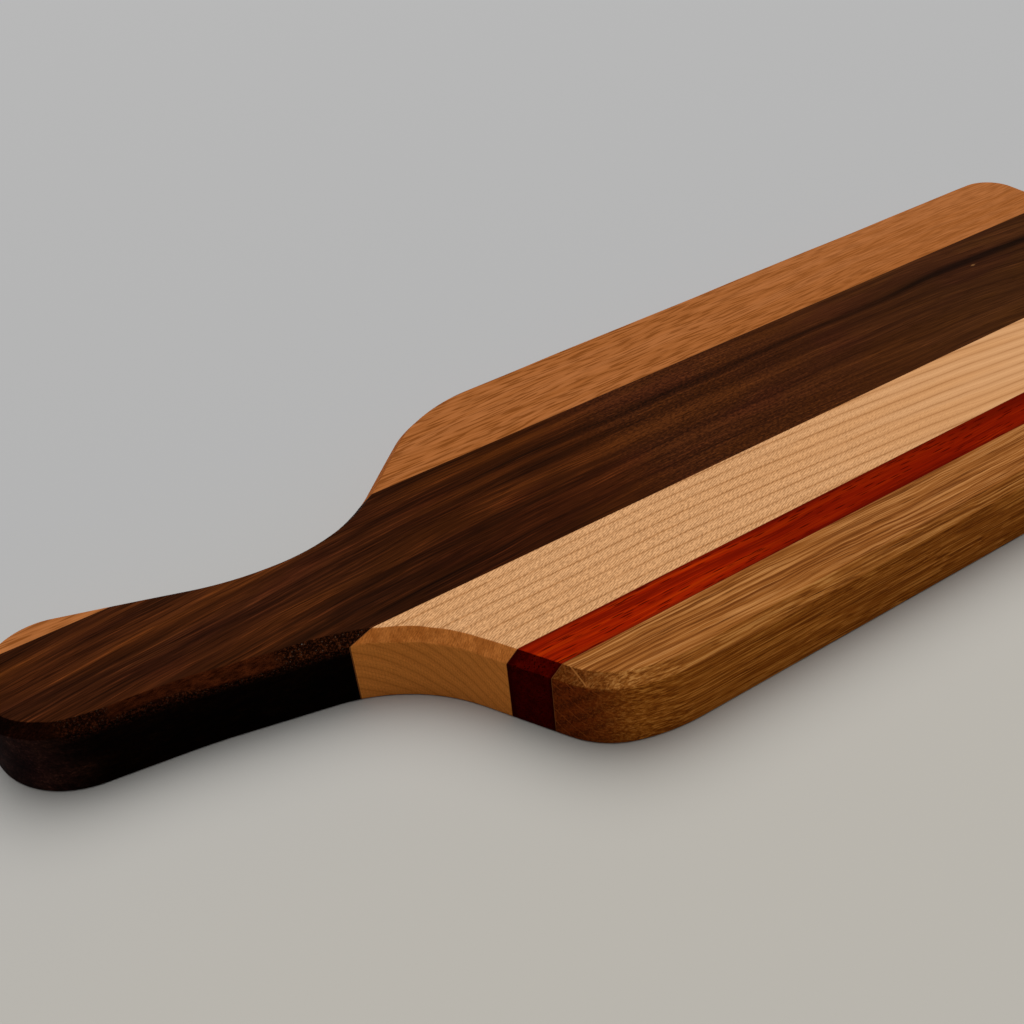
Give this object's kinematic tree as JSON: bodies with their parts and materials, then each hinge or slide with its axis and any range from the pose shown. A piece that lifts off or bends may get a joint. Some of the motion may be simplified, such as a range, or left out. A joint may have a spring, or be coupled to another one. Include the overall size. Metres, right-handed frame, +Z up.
{
  "type": "paddle charcuterie board",
  "caption": "Thick paddle serving board of contrasting hardwood strips glued edge to edge, with a leaning handle and a chamfer round its top edge.",
  "frame": {"origin": "on the resting face, in the middle of the overall length and width", "axes": "+X along the board from the handle to the far end, +Y across the strips towards the beech side, +Z up out of the serving face"},
  "size_m": [0.406, 0.14, 0.022],
  "materials": {
    "beech": "oiled, close grain with short dark flecks",
    "walnut": "oiled, dark with long straight streaks",
    "maple": "oiled, pale with fine growth lines",
    "padauk": "oiled, orange red with dark streaks",
    "oak": "oiled, strong open grain",
    "glue": "dried wood glue"
  },
  "bodies": {
    "root": {"beech_strip": "beech", "walnut_strip": "walnut", "maple_strip": "maple", "padauk_strip": "padauk", "oak_strip": "oak", "handle_beech_tip": "beech", "glue_beech_walnut": "glue", "glue_handle_tip": "glue", "glue_walnut_maple": "glue", "glue_maple_padauk": "glue", "glue_padauk_oak": "glue"}
  },
  "joints": []
}
